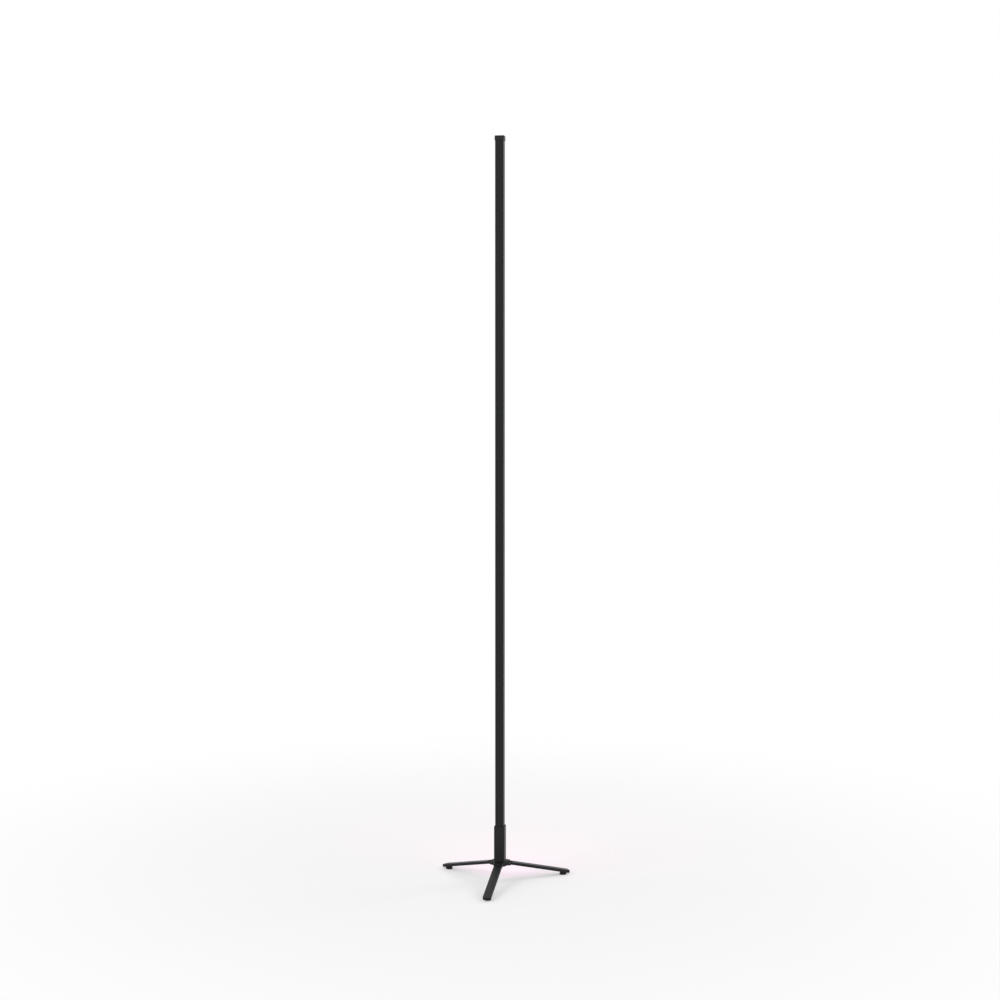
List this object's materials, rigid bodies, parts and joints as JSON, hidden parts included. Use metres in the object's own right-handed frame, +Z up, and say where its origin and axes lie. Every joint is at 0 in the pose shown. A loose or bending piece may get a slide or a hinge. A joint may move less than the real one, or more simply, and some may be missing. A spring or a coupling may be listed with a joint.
{
  "type": "corner floor lamp",
  "caption": "Slim square black pole lamp on a folding tripod, with an opal light strip down the side that faces a room corner",
  "frame": {"origin": "on the floor, at the axis of the pole", "axes": "+Z up along the pole; -Y towards the room, where the front leg points; +Y towards the corner that the light faces; +X to the right as seen from the room"},
  "size_m": [0.2504, 0.2177, 1.4],
  "materials": {
    "black_aluminium": "black powder coat, satin",
    "black_coated_metal": "black powder coat on steel, satin",
    "black_steel": "blackened steel",
    "plain_metal": "tinned steel",
    "black_plastic": "fine moulded texture",
    "button_plastic": "soft-touch",
    "white_plastic": "plain",
    "opal_light": "opal, lit from behind",
    "white_board": "white solder mask",
    "green_board": "green solder mask",
    "tape": "adhesive film",
    "led_lens": "moulded resin",
    "dark_chip": "moulded resin",
    "wire": "wire insulation",
    "contact_brass": "plain",
    "black_rubber": "matt"
  },
  "bodies": {
    "stand": {"pole_profile": "black_aluminium", "diffuser": "opal_light", "top_cap": "black_plastic", "top_cap_screws": "black_steel", "led_strip_board": "white_board", "strip_tape": "tape", "led_chips": "led_lens", "strip_resistors": "dark_chip", "strip_lead": "wire", "foot_socket": "black_coated_metal", "socket_set_screws": "black_steel", "controller_board": "green_board", "radio_module": "plain_metal", "board_chips": "dark_chip", "smoothing_capacitor": "plain_metal", "switch_housing": "dark_chip", "dc_jack": "black_plastic", "dc_contacts": "contact_brass", "jack_nut": "plain_metal", "hub": "black_coated_metal", "hub_screws": "black_steel", "hinge_pins": "black_steel", "friction_washers": "black_plastic"},
    "button": {"power_button": "button_plastic", "switch_plunger": "white_plastic"},
    "front_leg": {"leg_front": "black_coated_metal", "foot_pad_front": "black_rubber"},
    "left_leg": {"leg_left": "black_coated_metal", "foot_pad_left": "black_rubber"},
    "right_leg": {"leg_right": "black_coated_metal", "foot_pad_right": "black_rubber"}
  },
  "joints": [
    {"name": "front_leg_fold", "type": "hinge", "parent": "stand", "child": "front_leg", "pos_m": [0, -0.017, 0.03375], "axis": [1, 0, 0], "range_deg": [0, 77]},
    {"name": "left_leg_fold", "type": "hinge", "parent": "stand", "child": "left_leg", "pos_m": [-0.01472, 0.0085, 0.03375], "axis": [-0.5, -0.866, 0], "range_deg": [0, 77]},
    {"name": "right_leg_fold", "type": "hinge", "parent": "stand", "child": "right_leg", "pos_m": [0.01472, 0.0085, 0.03375], "axis": [-0.5, 0.866, 0], "range_deg": [0, 77]},
    {"name": "power_button_press", "type": "slide", "parent": "stand", "child": "button", "axis": [0, -1, 0], "range_m": [0, 0.0008], "stiffness_N_per_m": 1500, "springref_m": -0.0003}
  ]
}
